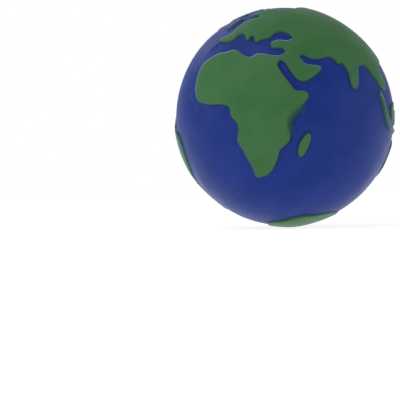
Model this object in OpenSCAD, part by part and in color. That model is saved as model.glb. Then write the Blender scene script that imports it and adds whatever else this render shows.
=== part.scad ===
// Globe stress ball: a soft foam sphere with a painted skin and raised continents.
// Origin at the ball's centre, +Z through the north pole, +X through longitude 0 on the equator.

/* [Ball] */
// Diameter over the raised land
ball_d = 70; // [50:1:100]
// Height of the land above the sea
relief = 0.7; // [0.4:0.1:1.5]
// Thickness of the dense moulded skin under the sea
skin_t = 1.2; // [0.8:0.1:3]

/* [Coast] */
// Straight steps between two neighbouring coast points
coast_steps = 3; // [2:1:5]

/* [Hidden] */

land_r = ball_d / 2;
sea_r = land_r - relief;
core_r = sea_r - skin_t;
// A land cone is cut between these two heights over the ball's centre
cone_low = 0.15 * land_r;
cone_high = 1.05 * land_r;
ball_fn = 180;

sea_blue = "#28408e";
land_green = "#3f7c42";
foam_cream = "#e8dfc4";

// ---- coasts: [longitude east, latitude north] in degrees, one closed ring each ----

// Atlantic and Gulf of Guinea, Cape, Indian Ocean side up to the Horn
africa_coast = [
    [-9.5, 30.5], [-13.5, 28.5], [-15.5, 25.5], [-16, 21.5], [-16, 17.5], [-15.5, 14],
    [-14, 10.5], [-12, 8],
    [-8, 6.5], [-3, 5.5], [2, 5.5], [6, 5], [8.5, 4], [9.5, 2], [10, -1], [12, -3], [13.5, -6],
    [13.5, -9], [12.5, -12], [13, -15], [15, -18.5], [16.5, -22.5], [18, -25.5], [19, -29],
    [19.5, -32], [22, -32.5], [26, -31.5], [29, -29], [31, -26], [33, -22], [34, -18.5],
    [36, -16.5], [38.5, -14.5], [39.5, -12], [39, -8.5], [38.5, -6], [39, -3.5], [41, -0.5],
    [44, 2], [47, 5], [49, 7.5], [48.5, 9.5]
];
// Red Sea, Arabia, Persian Gulf, India and Bengal
south_asia_coast = [
    [46, 10.5], [43, 10.5], [41, 13], [38.5, 16.5], [36, 20], [34, 23.5], [34, 26], [36, 27],
    [38, 25.5], [40, 22], [42, 19], [44, 16.5], [47, 15.5], [50, 16.5], [54, 19], [57, 21.5],
    [56.5, 23], [53, 23.5], [49.5, 24], [47.5, 26], [46, 28.5], [48, 30], [50.5, 28.5],
    [53.5, 27.5], [57, 27.5], [61, 28.5], [65, 28.5], [67, 27], [68, 25], [71, 25],
    [72.5, 22.5], [73.5, 19], [73.5, 15], [74, 12.5], [75.5, 11.5], [77.5, 13], [78.5, 16],
    [79.5, 19], [81, 22.5], [84, 24.5], [87.5, 24.5], [90.5, 22.5], [92.5, 19.5]
];
// Indochina, China, Okhotsk, Kamchatka and the Bering side
east_asia_coast = [
    [94.5, 18], [96, 15.5], [97.5, 13], [100, 12], [103, 12.5], [104, 15], [103.5, 18],
    [103, 21], [104.5, 24], [109, 26.5], [115, 28], [118.5, 30.5], [119, 34], [118, 38], [120, 42],
    [124, 46], [130, 50], [134, 55], [141, 58.5], [149, 60.5], [157, 62], [160.5, 61], [157, 57.5],
    [157.5, 54.5], [160.5, 54.5], [164, 59], [171, 61], [179, 63], [187, 64.5], [190, 66.5],
    [182, 69]
];
// Siberia to Norway, the long inlet behind Scandinavia, and France
north_coast = [
    [170, 70], [158, 71], [146, 72.5], [134, 72.5], [124, 73.5], [113, 76], [102, 77],
    [90, 76], [78, 75], [68, 74], [60, 72], [52, 70], [45, 68.5], [38, 68.5], [30, 69.5],
    [20, 70], [12, 69.5], [7, 67.5], [4, 65], [2, 62], [3, 60.5], [6, 61], [9, 62.5],
    [12.5, 62], [14, 60.5], [13, 59], [9, 58], [5, 57], [2, 55], [0, 52], [-1.5, 49],
    [-2.5, 46.5], [-4.5, 45]
];
// Iberia, the northern Mediterranean, Black Sea, Turkey and the way back along Africa
mediterranean_coast = [
    [-8, 44], [-10.5, 42.5], [-9.5, 41], [-5, 40.5], [0, 40.5], [2.5, 42], [4, 44.5], [6.5, 45.5],
    [9.5, 44.5], [11.5, 42], [13, 40], [14, 40.5], [14.5, 42.5], [16, 43.5], [17.5, 42.5],
    [18.5, 40], [20, 38.5], [21.5, 39.5], [24, 40.5], [27, 41], [29.5, 42.5], [31.5, 44.5],
    [34, 45.5], [37.5, 45.5], [41, 44], [43, 41.5], [42.5, 39.5], [39.5, 38.5], [36, 39],
    [33, 39], [30.5, 38], [29.5, 36], [31, 34.5], [35, 34.5], [37.5, 33.5], [38, 31.5],
    [35.5, 29.5], [31, 29.5], [27, 30.5], [23.5, 31], [21, 30.5], [18.5, 29], [15, 30],
    [11.5, 32], [8.5, 33.5], [5, 34], [0.5, 33], [-5, 32.5]
];
afro_eurasia_coast = concat(africa_coast, south_asia_coast, east_asia_coast, north_coast,
    mediterranean_coast);

// Pacific side from Alaska to the southern tip
west_america_coast = [
    [-164, 67], [-162, 64], [-161, 60], [-160, 56.5], [-158, 54], [-155.5, 56], [-152.5, 58.5],
    [-148.5, 60.5], [-144, 62.5], [-138.5, 63], [-132, 62.5], [-127, 61.5], [-123, 60],
    [-120.5, 57], [-119.5, 52], [-118.5, 46], [-117, 42], [-114.5, 39.5], [-112, 36.5],
    [-110, 33.5], [-110, 30], [-109.5, 27.5], [-109, 28], [-107.5, 31], [-106, 34],
    [-104.5, 33.5], [-101, 28], [-98.5, 23], [-95, 19], [-91, 17], [-87, 15.5], [-83, 13],
    [-80, 10], [-78.5, 7], [-77.5, 4], [-78, 0], [-77, -5], [-76, -10], [-73, -15], [-71, -20],
    [-71, -25], [-73, -30], [-75, -35], [-77, -41], [-79, -47], [-79, -52], [-74, -55], [-68, -55]
];
// Atlantic side of South America, the Caribbean and the Gulf of Mexico
east_america_coast = [
    [-67.5, -51], [-66, -46.5], [-64, -42.5], [-60, -39.5], [-55, -37], [-49, -34], [-43, -31],
    [-39, -27.5], [-37, -23.5], [-36, -19.5], [-35.5, -15.5], [-36.5, -11.5], [-39, -8.5],
    [-43, -7], [-48, -6], [-53, -4], [-58, -1], [-62, 3], [-66, 7.5], [-70, 10.5], [-73, 10.5],
    [-76, 9], [-77.5, 10], [-78.5, 13], [-80.5, 16], [-82, 20], [-84, 21.5], [-87.5, 21],
    [-90.5, 22], [-92, 25], [-91, 29], [-88, 31.5], [-84.5, 31.5], [-82, 29.5], [-80.5, 27],
    [-79.5, 28.5], [-79, 32]
];
// Eastern seaboard, Hudson Bay and the Arctic shore
north_america_coast = [
    [-76.5, 36], [-73.5, 40], [-70, 43], [-67, 45.5], [-68, 49], [-63, 52], [-60, 54.5],
    [-63, 58.5], [-68, 60.5], [-74, 62], [-77.5, 60], [-77, 56], [-80, 52.5], [-84, 55],
    [-90, 57.5], [-94, 60], [-91.5, 63.5], [-86, 66.5], [-90, 69], [-100, 68.5], [-112, 68.5],
    [-124, 69.5], [-136, 69.5], [-147, 70.5], [-157, 71.5], [-165, 69.5]
];
americas_coast = concat(west_america_coast, east_america_coast, north_america_coast);

antarctica_coast = [
    [8, -72], [20, -70.5], [31, -69.5], [38, -68], [45, -66], [52, -64.5], [59, -63.5],
    [65, -64], [73, -63.5], [81, -62.5], [90, -61.5], [100, -61.5], [112, -62], [126, -64],
    [140, -66], [156, -67], [172, -68.5], [188, -72], [206, -75.5], [225, -77.5], [245, -78],
    [265, -77.5], [282, -79.5], [300, -82], [325, -81.5], [345, -78], [357, -74.5]
];

australia_coast = [
    [130, -31], [127.5, -28], [126, -24], [126, -20], [128, -16.5], [132, -14], [137, -14],
    [142, -14.5], [146, -15.5], [149, -19], [152, -23], [154, -27.5], [155, -32], [154.5, -36],
    [152, -38.5], [148, -39], [143.5, -37], [138, -35], [133.5, -33.5]
];

greenland_coast = [
    [-52.5, 61.5], [-48.5, 64.5], [-44.5, 68], [-41, 71.5], [-41, 75], [-46, 78], [-55, 80],
    [-64, 79.5], [-68, 77.5], [-64, 75], [-61, 72.5], [-58, 68.5], [-56.5, 64]
];
madagascar_coast = [
    [49.5, -10.5], [50, -13], [49, -16], [47.5, -19.5], [45.5, -22], [44, -21.5], [43.5, -18.5],
    [44.5, -15], [46, -12.5], [48, -10.5]
];
british_isles_coast = [
    [-12, 50.5], [-10, 52.5], [-9, 55], [-7.5, 57.5], [-8, 59.5], [-10.5, 59.5], [-12.5, 57.5],
    [-13.5, 54.5], [-13.5, 52]
];
iceland_coast = [
    [-23, 64], [-19, 63.5], [-14.5, 64.5], [-14, 66], [-18, 66.5], [-23.5, 66.5]
];
borneo_coast = [
    [108, 1], [109, 3], [112, 4], [115, 5], [118, 5.5], [118.5, 4], [117, 2], [117, 0],
    [115, -3], [112, -3.5], [109, -2.5]
];
sumatra_java_coast = [
    [94.5, 9.5], [95.5, 7.5], [96.5, 5], [97.5, 2.5], [98, 0], [99, -2.5], [101, -5.5],
    [104, -8], [109, -9], [114, -9.5], [119, -10], [122, -9.5], [121, -8.5], [116, -8],
    [111, -7], [107, -6], [104.5, -4], [102, -1.5], [100.5, 1.5], [99, 5], [97.5, 8], [96, 10]
];
sulawesi_coast = [
    [119.5, -5.5], [119, -1.5], [120.5, 1], [124.5, 1.5], [124, -0.5], [122.5, -2], [122.5, -4.5],
    [121, -5.5]
];
new_guinea_coast = [
    [132, -1], [136, -2.5], [141, -3], [146, -4], [150, -4.5], [155, -4.5], [157, -6],
    [154, -7.5], [152, -8.5], [153, -10.5], [153.5, -12], [150, -11], [146, -9], [141, -9.5],
    [138, -8], [136, -5.5], [133, -4]
];
new_zealand_coast = [
    [177.5, -35], [179.5, -36.5], [181, -38.5], [180.5, -41], [178.5, -43], [176, -45],
    [173, -45.5], [172.5, -44], [175.5, -42.5], [177.5, -40.5], [178, -38.5], [176.5, -36.5]
];
cuba_coast = [
    [-84.5, 22], [-81.5, 23.5], [-78, 22.5], [-75, 21], [-77.5, 20], [-80.5, 21.5]
];
hispaniola_coast = [
    [-73.5, 19.5], [-71, 20], [-68.5, 18.5], [-70.5, 17.5], [-73.5, 18]
];
baffin_island_coast = [
    [-65.5, 62.5], [-62.5, 66], [-68, 70], [-77, 73], [-85, 73.5], [-86, 71.5], [-78, 69.5],
    [-72.5, 67], [-73, 64.5]
];
ellesmere_island_coast = [
    [-85, 76.5], [-81, 78.5], [-78, 80.5], [-84, 82], [-96, 81.5], [-98, 79], [-93, 77]
];
victoria_island_coast = [
    [-103, 71], [-110, 70.5], [-118, 71.5], [-124, 73], [-120, 75], [-108, 75.5], [-101, 73.5]
];
newfoundland_coast = [
    [-64, 47.5], [-60, 46.5], [-59, 48.5], [-60.5, 50], [-63, 49.5]
];

// ---- geometry ----

// Unit vector towards a place given as [longitude, latitude]
function towards(place) = [
    cos(place[1]) * cos(place[0]),
    cos(place[1]) * sin(place[0]),
    sin(place[1])
];

// The same vector seen from a frame whose +Z looks at the place `centre`
function seen_from(v, centre) =
    let (
        east = -v[0] * sin(centre[0]) + v[1] * cos(centre[0]),
        out = v[0] * cos(centre[0]) + v[1] * sin(centre[0])
    )
    [out * sin(centre[1]) - v[2] * cos(centre[1]), east, out * cos(centre[1]) + v[2] * sin(centre[1])];

// Point at fraction t of the smooth curve from b to c, with neighbours a and d
function curve(a, b, c, d, t) =
    b + (c - a) * t / 2 + (2 * a - 5 * b + 4 * c - d) * t * t / 2
    + (3 * b - a - 3 * c + d) * t * t * t / 2;

// A closed smooth ring through all points of `ring`
function smooth_ring(ring, steps) =
    let (n = len(ring))
    [for (i = [0:n - 1], k = [0:steps - 1])
        curve(ring[(i + n - 1) % n], ring[i], ring[(i + 1) % n], ring[(i + 2) % n], k / steps)];

// Outline of a coast on the plane at height `h` over the ball's centre, straight above `centre`
function flat_outline(coast, centre, h) =
    [for (v = smooth_ring([for (place = coast) seen_from(towards(place), centre)], coast_steps))
        [v[0], v[1]] * h / v[2]];

// Ball whose poles lie sideways, so that its seam stays underneath
module ball(r) {
    rotate([0, 90, 0]) sphere(r = r, $fn = ball_fn);
}

// Raised land: the part of the shell above the sea that lies in the cone over its coast
module land_pad(coast, centre) {
    color(land_green)
        rotate([0, 90 - centre[1], centre[0]])
            intersection() {
                difference() {
                    ball(land_r);
                    ball(sea_r);
                }
                translate([0, 0, cone_low])
                    linear_extrude(height = cone_high - cone_low, scale = cone_high / cone_low)
                        polygon(flat_outline(coast, centre, cone_low));
            }
}

module foam_core() {
    color(foam_cream) sphere(r = core_r, $fn = ball_fn);
}

module ocean_skin() {
    color(sea_blue)
        difference() {
            sphere(r = sea_r, $fn = ball_fn);
            sphere(r = core_r, $fn = ball_fn);
        }
}

module afro_eurasia() { land_pad(afro_eurasia_coast, [44, 37]); }
module americas() { land_pad(americas_coast, [-95, 13]); }
module antarctica() { land_pad(antarctica_coast, [0, -90]); }
module australia() { land_pad(australia_coast, [140, -27]); }
module greenland() { land_pad(greenland_coast, [-54, 72]); }
module madagascar() { land_pad(madagascar_coast, [46, -16]); }
module british_isles() { land_pad(british_isles_coast, [-10, 55]); }
module iceland() { land_pad(iceland_coast, [-19, 65]); }
module borneo() { land_pad(borneo_coast, [113, 1]); }
module sumatra_java() { land_pad(sumatra_java_coast, [102, 0]); }
module sulawesi() { land_pad(sulawesi_coast, [122, -2]); }
module new_guinea() { land_pad(new_guinea_coast, [144, -6]); }
module new_zealand() { land_pad(new_zealand_coast, [177, -40]); }
module cuba() { land_pad(cuba_coast, [-80, 22]); }
module hispaniola() { land_pad(hispaniola_coast, [-71, 19]); }
module baffin_island() { land_pad(baffin_island_coast, [-72, 68]); }
module ellesmere_island() { land_pad(ellesmere_island_coast, [-87, 79]); }
module victoria_island() { land_pad(victoria_island_coast, [-112, 73]); }
module newfoundland() { land_pad(newfoundland_coast, [-61, 48]); }

foam_core();
ocean_skin();
afro_eurasia();
americas();
antarctica();
australia();
greenland();
madagascar();
british_isles();
iceland();
borneo();
sumatra_java();
sulawesi();
new_guinea();
new_zealand();
cuba();
hispaniola();
baffin_island();
ellesmere_island();
victoria_island();
newfoundland();
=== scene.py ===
"""Globe stress ball: its looks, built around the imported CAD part.

All lengths are metres in the part's own frame: the ball's centre is the origin, +Z is the north
pole and +X is longitude 0 on the equator. The coasts come from the CAD land nodes. One fine grid
over the ball is cut along them. It gives the blue foam skin with its soft slopes, and a thin
green cap of paint on each land.
"""

import math

import bmesh
import bpy
import numpy as np
from mathutils import Matrix, Vector, noise
from mathutils.kdtree import KDTree


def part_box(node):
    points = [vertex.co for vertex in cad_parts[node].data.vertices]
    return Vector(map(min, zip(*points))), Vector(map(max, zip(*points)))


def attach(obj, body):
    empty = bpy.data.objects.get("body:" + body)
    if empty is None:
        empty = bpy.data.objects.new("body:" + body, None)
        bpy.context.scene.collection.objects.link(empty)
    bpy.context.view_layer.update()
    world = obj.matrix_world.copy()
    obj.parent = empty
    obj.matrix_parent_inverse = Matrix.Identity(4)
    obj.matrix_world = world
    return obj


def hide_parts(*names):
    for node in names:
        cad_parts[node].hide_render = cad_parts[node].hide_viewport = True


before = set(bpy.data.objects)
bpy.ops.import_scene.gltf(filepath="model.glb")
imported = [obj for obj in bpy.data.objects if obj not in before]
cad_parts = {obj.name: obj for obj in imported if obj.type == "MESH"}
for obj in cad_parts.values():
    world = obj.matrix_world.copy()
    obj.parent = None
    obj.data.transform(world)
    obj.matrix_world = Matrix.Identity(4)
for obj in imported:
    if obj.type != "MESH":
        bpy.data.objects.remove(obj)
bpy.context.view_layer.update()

MM = 0.001

# ---- sizes, from the frame ----

LANDS = sorted(set(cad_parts) - {"foam_core", "ocean_skin"})
SEA_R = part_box("ocean_skin")[1][0]
CORE_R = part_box("foam_core")[1][0]
LAND_R = max(v.co.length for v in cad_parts["afro_eurasia"].data.vertices)
RELIEF = LAND_R - SEA_R

# ---- the moulding ----

SLOPE = 0.85 * MM  # width of the blue slope outside the coast
BROW = 0.3 * MM  # width of the rounded edge inside the coast
CAP_T = 0.15 * MM  # thickness of a land's cap of paint
PAINT_T = 0.04 * MM  # how far the foam lies under the top of the paint
TOP_TOLERANCE = 0.05 * MM  # CAD points this close to the land's radius belong to its top
WELD = 0.001 * MM  # CAD points closer than this are one
LUMP_HEIGHT = 0.035 * MM  # height of the soft lumps
LUMPS = 5  # lumps per ball radius
WAVE_HEIGHT = 0.012 * MM  # height of the finer waves
WAVES = 24  # waves per ball radius
PIT_DEPTH = 0.15 * MM  # depth of the filling's pits
PITS = 30  # pits per ball radius, with smaller ones at twice that
FILLING_GAP = 0.02 * MM  # room between the filling and the skin

# The green is printed from two sides, along this axis. Away from the axis it falls short of the
# relief, so a blue ledge shows on outer shores and the green runs down the slope on inner ones.
# The same shift decides where the painted shade and the painted highlight of the shores go.
PRINT_AXIS = (37, 0)
PRINT_SHIFT = 0.65 * MM  # how far the print falls short at 90 degrees from its axis
PRINT_DROP = 0.12 * MM  # how far it lies to the south everywhere

# Each entry of the next four: a place (longitude, latitude), its reach in degrees, an amount

# Metres added to the width of the slope
WIDE_SLOPES = [((42, -3), 11, 2.2 * MM)]

# Share of the relief that is taken away
LOW_LANDS = [
    ((118, 42), 45, 0.45),
    ((150, 62), 35, 0.3),
    ((105, -68), 25, 0.6),
    ((-20, -78), 18, 0.5),
    ((119, -1), 15, 0.7),
    ((135, -25), 20, 0.3),
    ((-42, 70), 22, 0.55),
    ((-61, 48), 8, 0.85),
    ((-40, -25), 20, 0.3),
    ((-52, -38), 12, 0.4),
]

# Share of the green that is missing
FAINT_PRINTS = [
    ((-10, 55), 9, 0.8),
    ((-40, 68), 22, 0.7),
    ((-61, 48), 6, 0.8),
    ((105, -5), 11, 0.5),
    ((-38, -12), 14, 0.4),
]

# Metres added to the height of the surface
SWELLS = [
    ((122, 35), 60, -0.22 * MM),
    ((-52, 42), 26, 0.14 * MM),
    ((-19, 11), 2.2, 0.28 * MM),
    ((-17, 9), 2.2, 0.28 * MM),
    ((-15, 7), 2.2, 0.24 * MM),
    ((-13, 5), 2.2, 0.18 * MM),
    ((-13, 40), 2.2, 0.28 * MM),
    ((-15, 38.5), 2.2, 0.24 * MM),
    ((-17, 37), 2.2, 0.18 * MM),
]

# ---- the grid ----

BALL_LEVEL = 7  # icosphere level of the open sea and of inland areas
CORE_LEVEL = 6  # icosphere level of the filling and of the skin's inner face
REFINEMENTS = 2  # times the grid is halved near a coast
COAST_STEP = math.radians(0.2)  # spacing of the points along a coast
COAST_ROUNDING = 8  # passes that round the corners of a coast
SNAP = 0.25  # share of an edge within which a corner moves onto the coast


# ---- places ----


def towards(longitude, latitude):
    """Unit vector towards a place given in degrees."""
    lon, lat = math.radians(longitude), math.radians(latitude)
    return np.array([math.cos(lat) * math.cos(lon), math.cos(lat) * math.sin(lon), math.sin(lat)])


def ease(share):
    """Smooth step from 0 to 1."""
    share = np.clip(share, 0, 1)
    return share * share * (3 - 2 * share)


def local_sum(places, entries):
    """What the entries add up to at each place; each falls softly to 0 at its reach."""
    total = np.zeros(len(places))
    for centre, reach, amount in entries:
        angle = np.degrees(np.arccos(np.clip(places @ towards(*centre), -1, 1)))
        total += amount * ease(1 - angle / reach)
    return total


def print_error(places):
    """At each place, the way on the unit ball from where the relief is to where its print is."""
    axis = towards(*PRINT_AXIS)
    height = places @ axis
    inward = np.sign(height)[:, None] * (axis - height[:, None] * places)
    inward *= np.sqrt(np.maximum(1 - height * height, 0))[:, None]
    south = places[:, 2:] * places - [0, 0, 1]
    return (PRINT_SHIFT * inward + PRINT_DROP * south) / SEA_R


def moved(places, steps):
    """The places after a small step over the unit ball."""
    result = places + steps
    return result / np.linalg.norm(result, axis=1, keepdims=True)


# ---- coasts ----


def ring_of(node):
    """The coast of a land node: unit vectors in order, with the land on the left."""
    bm = bmesh.new()
    bm.from_mesh(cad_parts[node].data)
    bmesh.ops.remove_doubles(bm, verts=bm.verts, dist=WELD)
    bm.verts.index_update()
    bm.verts.ensure_lookup_table()
    top_level = LAND_R - TOP_TOLERANCE
    top = {f for f in bm.faces if min(v.co.length for v in f.verts) > top_level}
    following = {}
    for face in top:
        for loop in face.loops:
            if sum(f in top for f in loop.edge.link_faces) == 1:
                following[loop.vert.index] = loop.link_loop_next.vert.index
    start = min(following)  # the same one on every run
    order = [start]
    while following[order[-1]] != start:
        order.append(following[order[-1]])
    ring = np.array([bm.verts[i].co.normalized() for i in order])
    bm.free()
    return ring


def even_ring(ring):
    """The same ring in even steps, with its corners rounded."""
    closed = np.vstack([ring, ring[:1]])
    steps = np.linalg.norm(np.diff(closed, axis=0), axis=1)
    along = np.concatenate([[0], np.cumsum(steps)])
    count = int(along[-1] / COAST_STEP)
    places = np.linspace(0, along[-1], count, endpoint=False)
    even = np.stack([np.interp(places, along, closed[:, k]) for k in range(3)], axis=1)
    for _ in range(COAST_ROUNDING):
        even = (np.roll(even, 1, axis=0) + 2 * even + np.roll(even, -1, axis=0)) / 4
    return even / np.linalg.norm(even, axis=1, keepdims=True)


def to_segment(points, a, b):
    """Distance from each point to its own segment a-b, and the share along that segment."""
    ab = b - a
    share = np.clip(((points - a) * ab).sum(1) / (ab * ab).sum(1), 0, 1)
    return np.linalg.norm(points - a - ab * share[:, None], axis=1), share


class Coasts:
    """All coasts of the ball, which can be asked how far a place is from the nearest one."""

    def __init__(self, rings):
        self.here = np.vstack(rings)
        self.before = np.vstack([np.roll(ring, 1, axis=0) for ring in rings])
        self.after = np.vstack([np.roll(ring, -1, axis=0) for ring in rings])
        self.land = np.repeat(np.arange(len(rings)), [len(ring) for ring in rings])
        self.tree = KDTree(len(self.here))
        for i, point in enumerate(self.here):
            self.tree.insert(point, i)
        self.tree.balance()

    def measure(self, places):
        """Angle from each unit vector to the nearest coast, above 0 on land, and that land."""
        near = np.array([self.tree.find(place)[1] for place in places])
        a, b, c = self.before[near], self.here[near], self.after[near]
        back, back_share = to_segment(places, a, b)
        ahead, ahead_share = to_segment(places, b, c)
        back_side = (np.cross(a, b) * places).sum(1)
        ahead_side = (np.cross(b, c) * places).sum(1)
        side = np.where(back < ahead, back_side, ahead_side)
        at_corner = (back_share == 1) & (ahead_share == 0)
        side = np.where(at_corner, back_side + ahead_side, side)
        return np.minimum(back, ahead) * np.sign(side), self.land[near]


# ---- the grid over the ball ----


def places_of(bm):
    return np.array([v.co for v in bm.verts])


def onto_unit_ball(bm):
    for v in bm.verts:
        v.co.normalize()


def only_triangles(bm):
    bmesh.ops.triangulate(bm, faces=[f for f in bm.faces if len(f.verts) > 3])


def refine_near_coasts(bm, coasts):
    """Halves the edges from the foot of each slope to just inside the land."""
    distance, _ = coasts.measure(places_of(bm))
    bm.verts.index_update()
    edge_length = max(e.calc_length() for e in bm.edges)
    low = -SLOPE / SEA_R - edge_length
    high = BROW / SEA_R + edge_length
    inside = (distance > low) & (distance < high)
    edges = [e for e in bm.edges if inside[e.verts[0].index] and inside[e.verts[1].index]]
    bmesh.ops.subdivide_edges(bm, edges=edges, cuts=1, use_grid_fill=True)
    only_triangles(bm)
    onto_unit_ball(bm)


def crossings(bm, distance):
    """Edges that cross a coast, each with the share of its length at which it does."""
    found = []
    for edge in bm.edges:
        d0, d1 = (distance[v.index] for v in edge.verts)
        if d0 * d1 < 0:
            found.append((edge, d0 / (d0 - d1)))
    return found


def cut_along_coasts(bm, coasts):
    """Moves or adds vertices so that edges follow the coasts."""
    on_coast = bm.verts.layers.int.new("on_coast")
    bm.verts.index_update()
    distance, _ = coasts.measure(places_of(bm))
    moves = {}
    for edge, share in crossings(bm, distance):
        first, last = edge.verts
        meeting = first.co.lerp(last.co, share)
        if share < SNAP or share > 1 - SNAP:
            vert, size = (first, share) if share < SNAP else (last, 1 - share)
            if vert not in moves or size < moves[vert][0]:
                moves[vert] = (size, meeting)
    for vert, (_, meeting) in moves.items():
        vert.co = meeting
        distance[vert.index] = 0
        vert[on_coast] = 1
    shares = dict(crossings(bm, distance))
    made = bmesh.ops.bisect_edges(bm, edges=list(shares), cuts=1, edge_percents=shares)
    for part in made["geom_split"]:
        if isinstance(part, bmesh.types.BMVert):
            part[on_coast] = 1
    bmesh.ops.connect_verts(bm, verts=[v for v in bm.verts if v[on_coast]])
    only_triangles(bm)
    onto_unit_ball(bm)
    return np.array([v[on_coast] for v in bm.verts], dtype=bool)


def ball_grid(coasts):
    """Unit vectors, triangles, metres to the coast at each vertex, and each triangle's land."""
    bm = bmesh.new()
    bmesh.ops.create_icosphere(bm, subdivisions=BALL_LEVEL, radius=1)
    for _ in range(REFINEMENTS):
        refine_near_coasts(bm, coasts)
    on_coast = cut_along_coasts(bm, coasts)
    bm.verts.index_update()
    places = places_of(bm)
    triangles = np.array([[v.index for v in f.verts] for f in bm.faces])
    distance, _ = coasts.measure(places)
    distance[on_coast] = 0
    bm.free()
    middles = places[triangles].mean(axis=1)
    middle_distance, land = coasts.measure(middles / np.linalg.norm(middles, axis=1)[:, None])
    return places, triangles, distance * SEA_R, np.where(middle_distance > 0, land, -1)


# ---- surfaces ----


def unevenness(places):
    """Height of the soft lumps and fine waves that a foam moulding has, in metres."""
    lumps = np.array([noise.noise(Vector(p) * LUMPS) for p in places])
    waves = np.array([noise.noise(Vector(p) * WAVES) for p in places])
    return LUMP_HEIGHT * lumps + WAVE_HEIGHT * waves + local_sum(places, SWELLS)


def land_rise(places, metres):
    """0 at the foot of a land's slope and 1 on top of it, from the metres to its coast."""
    slope = SLOPE + local_sum(places, WIDE_SLOPES)
    return ease((metres + slope) / (slope + BROW))


def full_height(places):
    """Height of the land's top over the sea at each place."""
    return RELIEF * (1 - local_sum(places, LOW_LANDS))


def new_piece(name, points, faces, shore):
    """A smooth mesh object that keeps what `shore` says about each vertex."""
    mesh = bpy.data.meshes.new(name)
    mesh.from_pydata(points, [], faces)
    mesh.shade_smooth()
    for key, values in shore.items():
        layer = mesh.attributes.new(key, "FLOAT", "POINT")
        layer.data.foreach_set("value", values.astype(np.float32))
    piece = bpy.data.objects.new(name, mesh)
    bpy.context.collection.objects.link(piece)
    return piece


def sea_skin(places, triangles, shore, top):
    """The foam skin: the whole relief outside and a plain inner face on the filling."""
    paint = np.clip(shore["coast_mm"] * MM, 0, PAINT_T)
    outer = places * (top - paint)[:, None]
    bm = bmesh.new()
    bmesh.ops.create_icosphere(bm, subdivisions=CORE_LEVEL, radius=CORE_R)
    bm.verts.index_update()
    inner = places_of(bm)
    inner_faces = [[v.index + len(outer) for v in reversed(f.verts)] for f in bm.faces]
    bm.free()
    return new_piece(
        "sea_skin",
        np.vstack([outer, inner]),
        triangles.tolist() + inner_faces,
        {key: np.append(values, np.full(len(inner), values.min()))
         for key, values in shore.items()},
    )


def land_cap(name, places, triangles, shore, top):
    """A closed thin cap of paint over the given triangles of the grid."""
    used, faces = np.unique(triangles, return_inverse=True)
    faces = faces.reshape(-1, 3)
    count = len(used)
    upper = places[used] * top[used][:, None]
    lower = places[used] * (top[used] - CAP_T)[:, None]
    sides = {(f[k], f[(k + 1) % 3]) for f in faces.tolist() for k in range(3)}
    rim = [(a, b) for a, b in sorted(sides) if (b, a) not in sides]
    walls = [[b, a, a + count, b + count] for a, b in rim]
    under = (faces[:, ::-1] + count).tolist()
    cap = new_piece(
        name,
        np.vstack([upper, lower]),
        faces.tolist() + under + walls,
        {key: np.tile(values[used], 2) for key, values in shore.items()},
    )
    sharpen(cap, {tuple(sorted(pair)) for pair in rim})
    return cap


def sharpen(piece, pairs):
    """Marks the edges between the given pairs of vertices as sharp."""
    mesh = piece.data
    layer = mesh.attributes.new("sharp_edge", "BOOLEAN", "EDGE")
    layer.data.foreach_set("value", [tuple(sorted(e.vertices)) in pairs for e in mesh.edges])


def foam_filling():
    """The open-cell foam inside, with a finely pitted surface."""
    bm = bmesh.new()
    bmesh.ops.create_icosphere(bm, subdivisions=CORE_LEVEL, radius=1)
    for v in bm.verts:
        pits = abs(noise.noise(v.co * PITS)) + 0.5 * abs(noise.noise(v.co * 2 * PITS))
        v.co *= CORE_R - FILLING_GAP - PIT_DEPTH * pits
    mesh = bpy.data.meshes.new("foam_filling")
    bm.to_mesh(mesh)
    bm.free()
    mesh.shade_smooth()
    piece = bpy.data.objects.new("foam_filling", mesh)
    bpy.context.collection.objects.link(piece)
    return piece


# ---- colours, as linear red, green and blue ----

SEA_DARK = (0.005, 0.022, 0.180)
SEA_LIGHT = (0.010, 0.032, 0.216)
SEA_SPECK = (0.018, 0.042, 0.25)
# painted shade at the foot of the slopes of inner shores
SLOPE_FOOT_SHADE = (0.003, 0.016, 0.080)
RUN_OVER_AND_SHADE = (0.010, 0.044, 0.055)  # thin green over blue, darkened with painted shade on the slope
# green ink along the coast of inner shores, darkened as painted shade
SHORE_INK_AND_SHADE = (0.009, 0.042, 0.050)
SEA_SPRAY = (0.024, 0.088, 0.042)  # green mist on the sea along a wide slope
# painted highlight on the bare blue brow of outer shores
LEDGE_HIGHLIGHT = (0.155, 0.262, 0.340)

LAND_DARK = (0.037, 0.134, 0.038)
LAND_LIGHT = (0.051, 0.156, 0.059)
LAND_SPECK = (0.055, 0.165, 0.060)
THIN_GREEN = (0.042, 0.122, 0.083)
LAND_SPRAY = (0.022, 0.084, 0.040)
# painted shade on the green slopes of inner shores
GREEN_SLOPE_SHADE = (0.014, 0.055, 0.038)
# thin missed print at the brow, paled as a painted highlight
PALE_EDGE_HIGHLIGHT = (0.085, 0.165, 0.135)
FAINT_GREEN = (0.030, 0.062, 0.125)

FOAM_DARK = (0.74, 0.66, 0.46)
FOAM_LIGHT = (0.82, 0.75, 0.56)
# painted shade in the pits of the cells
FOAM_PIT_SHADE = (0.45, 0.38, 0.24)

PAPER_DARK = (0.3, 0.3, 0.3)
PAPER_LIGHT = (0.34, 0.34, 0.34)

# ---- materials ----


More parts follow.
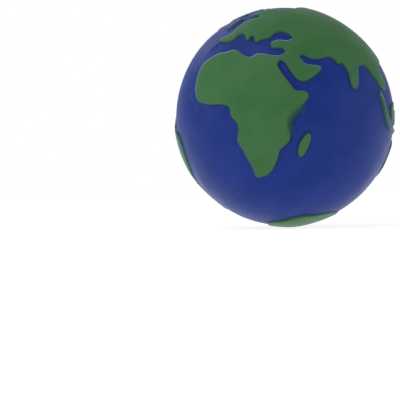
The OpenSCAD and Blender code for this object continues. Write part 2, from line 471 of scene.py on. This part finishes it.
class Nodes:
    """Short names for the nodes of one material."""

    def __init__(self, name):
        self.material = bpy.data.materials.new(name)
        self.material.use_nodes = True
        self.tree = self.material.node_tree
        self.shader = self.tree.nodes["Principled BSDF"]
        self.place = self.tree.nodes.new("ShaderNodeTexCoord").outputs["Object"]

    def link(self, source, target):
        self.tree.links.new(source, target)

    def noise(self, size, detail=2.0):
        """Cloudy noise whose patches are about `size` metres across."""
        node = self.tree.nodes.new("ShaderNodeTexNoise")
        node.inputs["Scale"].default_value = 1 / size
        node.inputs["Detail"].default_value = detail
        node.inputs["Roughness"].default_value = 0.5
        self.link(self.place, node.inputs["Vector"])
        return node.outputs["Fac"]

    def cells(self, size):
        """Distance to the middle of the nearest cell, for cells about `size` metres across."""
        node = self.tree.nodes.new("ShaderNodeTexVoronoi")
        node.inputs["Scale"].default_value = 1 / size
        self.link(self.place, node.inputs["Vector"])
        return node.outputs["Distance"]

    def attribute(self, name):
        """What the mesh says about each vertex under this name."""
        node = self.tree.nodes.new("ShaderNodeAttribute")
        node.attribute_name = name
        return node.outputs["Fac"]

    def remap(self, value, low, high, to_low, to_high):
        """The value carried from low-high to to_low-to_high, and held at both ends."""
        node = self.tree.nodes.new("ShaderNodeMapRange")
        self.link(value, node.inputs["Value"])
        for socket, number in (
            ("From Min", low),
            ("From Max", high),
            ("To Min", to_low),
            ("To Max", to_high),
        ):
            node.inputs[socket].default_value = number
        return node.outputs["Result"]

    def combine(self, operation, first, second):
        node = self.tree.nodes.new("ShaderNodeMath")
        node.operation = operation
        self.link(first, node.inputs[0])
        self.link(second, node.inputs[1])
        return node.outputs["Value"]

    def plus(self, first, second):
        return self.combine("ADD", first, second)

    def times(self, first, second):
        return self.combine("MULTIPLY", first, second)

    def mix(self, share, first, second):
        """Mixes two colours, each a socket or a plain (r, g, b)."""
        node = self.tree.nodes.new("ShaderNodeMix")
        node.data_type = "RGBA"
        self.link(share, node.inputs["Factor"])
        for socket, colour in ((node.inputs[6], first), (node.inputs[7], second)):
            if isinstance(colour, tuple):
                socket.default_value = (*colour, 1)
            else:
                self.link(colour, socket)
        return node.outputs[2]

    def bump(self, height, depth, below=None):
        """A bump `depth` metres deep, laid over another bump if one is given."""
        node = self.tree.nodes.new("ShaderNodeBump")
        node.inputs["Strength"].default_value = 1
        node.inputs["Distance"].default_value = depth
        self.link(height, node.inputs["Height"])
        if below is not None:
            self.link(below, node.inputs["Normal"])
        return node.outputs["Normal"]


def paint_finish(nodes, colour, roughness, sheen):
    """What both paints share: satin gloss, pale sheen at grazing angles and the foam's grain."""
    shader = nodes.shader
    nodes.link(colour, shader.inputs["Base Color"])
    patches = nodes.noise(6 * MM, detail=3)
    nodes.link(nodes.remap(patches, 0.3, 0.7, roughness - 0.06, roughness + 0.06),
               shader.inputs["Roughness"])
    shader.inputs["IOR"].default_value = 1.45
    shader.inputs["Specular IOR Level"].default_value = 0.14
    shader.inputs["Sheen Weight"].default_value = sheen
    shader.inputs["Sheen Roughness"].default_value = 0.3
    shader.inputs["Sheen Tint"].default_value = (0.66, 0.84, 1, 1)
    grain = nodes.bump(nodes.noise(0.35 * MM, detail=4), 0.018 * MM)
    dimples = nodes.bump(nodes.noise(2.5 * MM), 0.02 * MM, grain)
    nodes.link(dimples, shader.inputs["Normal"])


def sea_paint():
    """Blue paint: dark teal of green run-over and painted shade on inner shores, painted highlight
    on others.
    """
    nodes = Nodes("sea_paint")
    clouds = nodes.remap(nodes.noise(9 * MM, detail=3), 0.3, 0.7, 0, 1)
    blue = nodes.mix(clouds, SEA_DARK, SEA_LIGHT)
    specks = nodes.remap(nodes.noise(0.35 * MM, detail=3), 0.42, 0.72, 0, 0.4)
    blue = nodes.mix(specks, blue, SEA_SPECK)
    wobble = nodes.remap(nodes.noise(1.2 * MM, detail=2), 0.3, 0.7, -0.12, 0.12)
    reach = nodes.plus(nodes.attribute("coast_mm"), wobble)
    lee = nodes.attribute("lee")
    rise = nodes.attribute("rise")
    in_lee = nodes.remap(lee, -0.4, 0.0, 0, 1)
    # Painted shade darkens the foot of the slope on inner shores.
    foot = nodes.times(nodes.remap(rise, 0.0, 0.3, 0, 0.9), in_lee)
    blue = nodes.mix(foot, blue, SLOPE_FOOT_SHADE)
    # Green run over the slope of inner shores, darkened there as painted shade.
    run_over_and_shade = nodes.times(nodes.remap(rise, 0.3, 0.95, 0, 0.9), in_lee)
    blue = nodes.mix(run_over_and_shade, blue, RUN_OVER_AND_SHADE)
    # Green ink along the coast of inner shores, darkened as painted shade.
    shore = nodes.times(nodes.remap(reach, -0.3, -0.02, 0, 0.85), in_lee)
    blue = nodes.mix(shore, blue, SHORE_INK_AND_SHADE)
    spray = nodes.times(nodes.remap(reach, -1.8, 0.1, 0, 0.85), nodes.attribute("soft"))
    blue = nodes.mix(spray, blue, SEA_SPRAY)
    # Painted highlight on the bare blue brow where the print falls short.
    in_light = nodes.remap(lee, -0.08, -0.3, 0, 1)
    ledge_highlight = nodes.times(nodes.remap(rise, 0.35, 0.85, 0, 0.9), in_light)
    colour = nodes.mix(ledge_highlight, blue, LEDGE_HIGHLIGHT)
    paint_finish(nodes, colour, 0.44, 0.18)
    return nodes.material


def land_paint():
    """Green paint: thin and bluish along the coast, painted shade on inner shores' slopes, painted
    highlight on others.
    """
    nodes = Nodes("land_paint")
    clouds = nodes.remap(nodes.noise(8 * MM, detail=4), 0.3, 0.7, 0, 1)
    green = nodes.mix(clouds, LAND_DARK, LAND_LIGHT)
    specks = nodes.remap(nodes.noise(0.35 * MM, detail=3), 0.42, 0.72, 0, 0.4)
    green = nodes.mix(specks, green, LAND_SPECK)
    wobble = nodes.remap(nodes.noise(1.5 * MM, detail=2), 0.3, 0.7, -0.12, 0.12)
    reach = nodes.plus(nodes.attribute("coast_mm"), wobble)
    thin = nodes.remap(reach, 0.1, 0.6, 0.75, 0)
    green = nodes.mix(thin, green, THIN_GREEN)
    spray = nodes.times(nodes.remap(reach, 1.0, 0.0, 0, 0.7), nodes.attribute("soft"))
    green = nodes.mix(spray, green, LAND_SPRAY)
    lee = nodes.attribute("lee")
    in_lee = nodes.remap(lee, 0.0, 0.3, 0, 1)
    # Painted shade on the green slopes of inner shores.
    slope = nodes.times(nodes.remap(nodes.attribute("rise"), 0.95, 0.4, 0, 0.75), in_lee)
    green = nodes.mix(slope, green, GREEN_SLOPE_SHADE)
    # The print's thin missed edge, paled as a painted highlight where it falls short of the brow.
    in_light = nodes.remap(lee, -0.05, -0.35, 0, 1)
    missed_print_highlight = nodes.times(nodes.remap(reach, 0.0, 0.45, 0.7, 0), in_light)
    green = nodes.mix(missed_print_highlight, green, PALE_EDGE_HIGHLIGHT)
    colour = nodes.mix(nodes.attribute("faint"), green, FAINT_GREEN)
    paint_finish(nodes, colour, 0.46, 0.13)
    return nodes.material


def foam():
    """Cream open-cell foam."""
    nodes = Nodes("foam")
    clouds = nodes.remap(nodes.noise(5 * MM, detail=3), 0.3, 0.7, 0, 1)
    cream = nodes.mix(clouds, FOAM_DARK, FOAM_LIGHT)
    cells = nodes.cells(0.5 * MM)
    # Painted shade in the pits of the cells.
    colour = nodes.mix(nodes.remap(cells, 0.1, 0.5, 0.5, 0), cream, FOAM_PIT_SHADE)
    nodes.link(colour, nodes.shader.inputs["Base Color"])
    nodes.link(nodes.remap(clouds, 0, 1, 0.85, 0.95), nodes.shader.inputs["Roughness"])
    nodes.link(nodes.bump(cells, 0.1 * MM), nodes.shader.inputs["Normal"])
    return nodes.material


def floor_paper():
    """Plain white studio paper, lit through from below."""
    nodes = Nodes("floor_paper")
    mottle = nodes.remap(nodes.noise(20 * MM, detail=3), 0.3, 0.7, 0, 1)
    nodes.link(nodes.mix(mottle, PAPER_DARK, PAPER_LIGHT), nodes.shader.inputs["Base Color"])
    nodes.shader.inputs["Roughness"].default_value = 0.9
    nodes.shader.inputs["Specular IOR Level"].default_value = 0
    nodes.shader.inputs["Emission Color"].default_value = (1, 1, 1, 1)
    nodes.shader.inputs["Emission Strength"].default_value = 0.85
    return nodes.material


# ---- the ball ----


def dress(piece, node, material):
    """Gives a piece its material, hangs it under the root body and hides the CAD node it stands for.
    """
    piece.data.materials.append(material)
    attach(piece, "root")
    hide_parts(node)


def build_ball():
    """The skin, a cap of paint on each land, and the filling.

    What `shore` says about each place: coast_mm is the millimetres from the edge of the green,
    above 0 on land. lee is how many millimetres the green runs past the relief's edge, below 0
    where it falls short. rise is the height as a share of the land's. faint is the share of the
    green that is missing, and soft is 1 where the slope is at least a millimetre wider.
    """
    coasts = Coasts([even_ring(ring_of(node)) for node in LANDS])
    places, triangles, distance, land = ball_grid(coasts)
    error = print_error(places)
    relief_distance = coasts.measure(moved(places, error))[0] * SEA_R
    rise = land_rise(places, relief_distance)
    shore = {
        "coast_mm": distance / MM,
        "lee": (distance - relief_distance) / MM,
        "rise": rise,
        "faint": local_sum(places, FAINT_PRINTS),
        "soft": np.minimum(local_sum(places, WIDE_SLOPES) / MM, 1),
    }
    top = SEA_R + full_height(places) * rise + unevenness(places)
    top = np.minimum(top, LAND_R)
    skin = sea_skin(places, triangles, shore, top)
    dress(skin, "ocean_skin", sea_paint())
    green = land_paint()
    for index, node in enumerate(LANDS):
        cap = land_cap(node + "_paint", places, triangles[land == index], shore, top)
        dress(cap, node, green)
    filling = foam_filling()
    dress(filling, "foam_core", foam())


# ---- studio ----

VIEW_LON, VIEW_LAT = 37, -2  # the place on the ball that faces the camera
NORTH_LEAN = 1.5  # degrees by which the north pole leans to the left in the frame
CAMERA_FAR = 16  # camera distance, in sea radii
BALL_SHARE = 0.5425  # width of the sea ball as a share of the frame's width
RIGHT_SHARE = 0.2116  # the ball's centre lies this share of the width right of the middle
UP_SHARE = 0.2077  # and this share above it
FLOOR_R = 3  # radius of the floor, in metres
SOFTBOX = 0.5  # side of a softbox, in metres


def camera_axes():
    """Unit vectors to the right, up and towards the camera, looking at the ball's centre."""
    lon, lat = math.radians(VIEW_LON), math.radians(VIEW_LAT)
    back = Vector((
        math.cos(lat) * math.cos(lon),
        math.cos(lat) * math.sin(lon),
        math.sin(lat),
    ))
    right = Vector((0, 0, 1)).cross(back).normalized()
    return right, back.cross(right), back


def add_camera():
    """The camera looks past the ball, so that the ball lies right of and above the middle."""
    right, up, back = camera_axes()
    data = bpy.data.cameras.new("camera")
    camera = bpy.data.objects.new("camera", data)
    bpy.context.collection.objects.link(camera)
    bpy.context.scene.camera = camera
    half_angle = math.asin(1 / CAMERA_FAR)
    tangent = math.tan(half_angle) / BALL_SHARE  # half the frame's width at unit distance
    data.lens = data.sensor_width / 2 / tangent
    data.clip_start = 0.01
    data.clip_end = 20
    level = Matrix((right, up, back)).transposed().to_4x4()
    roll = Matrix.Rotation(-math.radians(NORTH_LEAN), 4, "Z")
    turn_left = Matrix.Rotation(math.atan(2 * tangent * RIGHT_SHARE), 4, "Y")
    turn_down = Matrix.Rotation(-math.atan(2 * tangent * UP_SHARE), 4, "X")
    camera.matrix_world = (
        Matrix.Translation(back * CAMERA_FAR * SEA_R) @ level @ roll @ turn_left @ turn_down
    )


def add_softbox(name, right, up, front, power):
    """A square area light aimed at the ball, placed as seen from the camera, in metres."""
    axes = camera_axes()
    data = bpy.data.lights.new(name, "AREA")
    data.size = SOFTBOX
    data.energy = power
    light = bpy.data.objects.new(name, data)
    bpy.context.collection.objects.link(light)
    light.location = axes[0] * right + axes[1] * up + axes[2] * front
    light.rotation_mode = "QUATERNION"
    light.rotation_quaternion = light.location.to_track_quat("Z", "Y")


def add_world():
    """Pale surround for the lens and a dimmer one for the light that falls on the ball."""
    world = bpy.data.worlds.new("studio")
    bpy.context.scene.world = world
    world.use_nodes = True
    tree = world.node_tree
    ball_light = tree.nodes["Background"]
    ball_light.inputs["Color"].default_value = (0.95, 0.97, 1, 1)
    ball_light.inputs["Strength"].default_value = 0.45
    seen = tree.nodes.new("ShaderNodeBackground")
    seen.inputs["Color"].default_value = (1, 1, 1, 1)
    seen.inputs["Strength"].default_value = 1
    path = tree.nodes.new("ShaderNodeLightPath")
    mix = tree.nodes.new("ShaderNodeMixShader")
    tree.links.new(path.outputs["Is Camera Ray"], mix.inputs["Fac"])
    tree.links.new(ball_light.outputs["Background"], mix.inputs[1])
    tree.links.new(seen.outputs["Background"], mix.inputs[2])
    tree.links.new(mix.outputs["Shader"], tree.nodes["World Output"].inputs["Surface"])


def add_floor():
    """A wide disc under the ball."""
    bm = bmesh.new()
    bmesh.ops.create_circle(bm, cap_ends=True, segments=96, radius=FLOOR_R)
    mesh = bpy.data.meshes.new("floor")
    bm.to_mesh(mesh)
    bm.free()
    floor = bpy.data.objects.new("floor", mesh)
    bpy.context.collection.objects.link(floor)
    floor.location.z = -LAND_R
    floor.data.materials.append(floor_paper())


def add_studio():
    add_camera()
    add_world()
    add_floor()
    add_softbox("key", -0.35, 0.65, 0.35, 2.2)
    add_softbox("side_left", -0.75, 0.1, 0.1, 0.9)
    add_softbox("side_right", 0.75, 0.1, 0.1, 0.9)
    add_softbox("rim", -0.5, 0.6, -0.6, 0.8)
    bpy.context.scene.view_settings.view_transform = "Standard"


add_studio()
build_ball()
